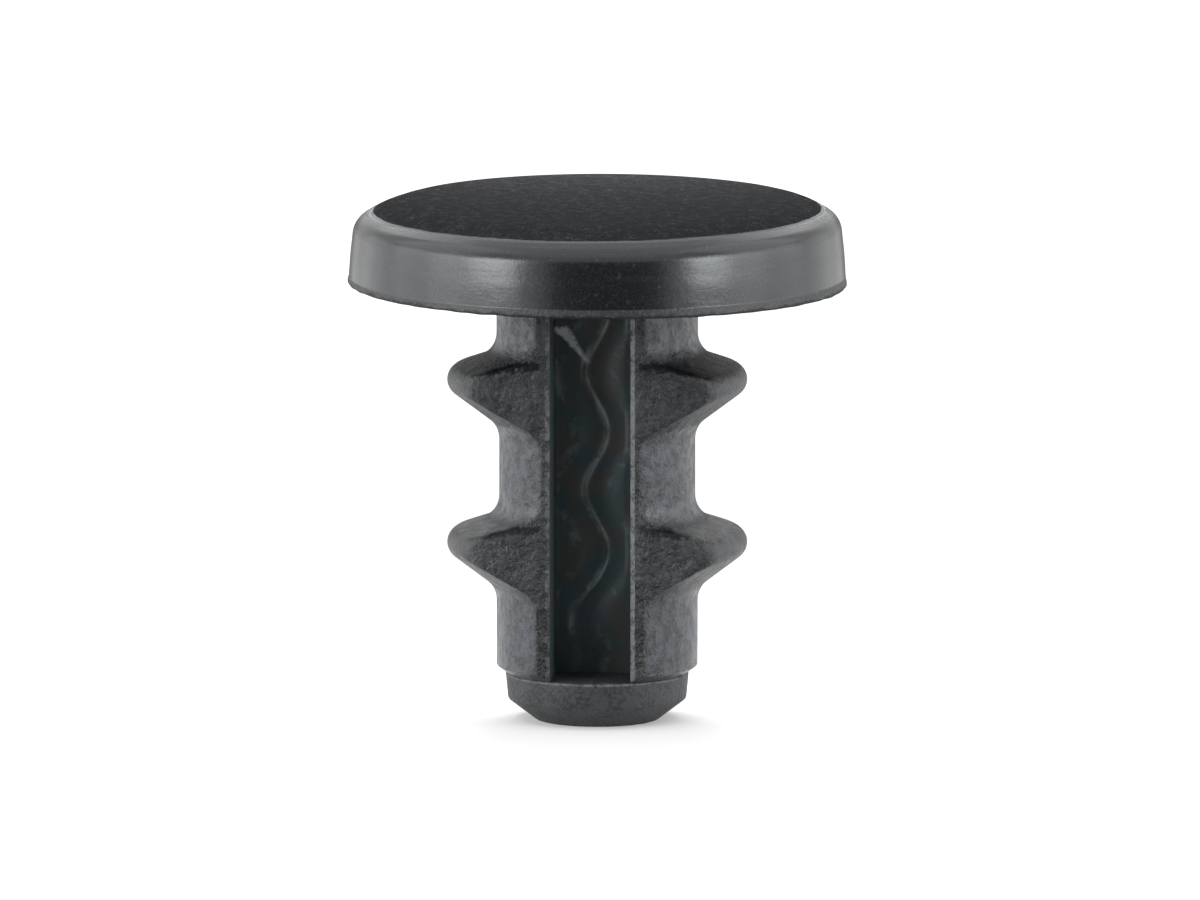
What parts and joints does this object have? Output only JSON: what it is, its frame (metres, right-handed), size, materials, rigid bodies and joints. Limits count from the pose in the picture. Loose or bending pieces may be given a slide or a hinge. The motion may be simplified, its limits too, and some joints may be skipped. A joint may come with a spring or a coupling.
{
  "type": "plastic hole plug",
  "caption": "Push-in plastic hole plug: a thin round head with a softly crowned edge over a stem with barbs, side flats and side pockets.",
  "frame": {"origin": "centre of the head's underside, the face that seats on the panel, on the stem's axis", "axes": "+Z along the stem's axis, out through the head; the flats and pockets face -Y and +Y, the barbs reach out along X"},
  "size_m": [0.02, 0.02, 0.0209],
  "materials": {
    "plug_plastic": "black moulded plastic, lightly grained, with smoother pockets"
  },
  "bodies": {
    "root": {"hole_plug": "plug_plastic"}
  },
  "joints": []
}
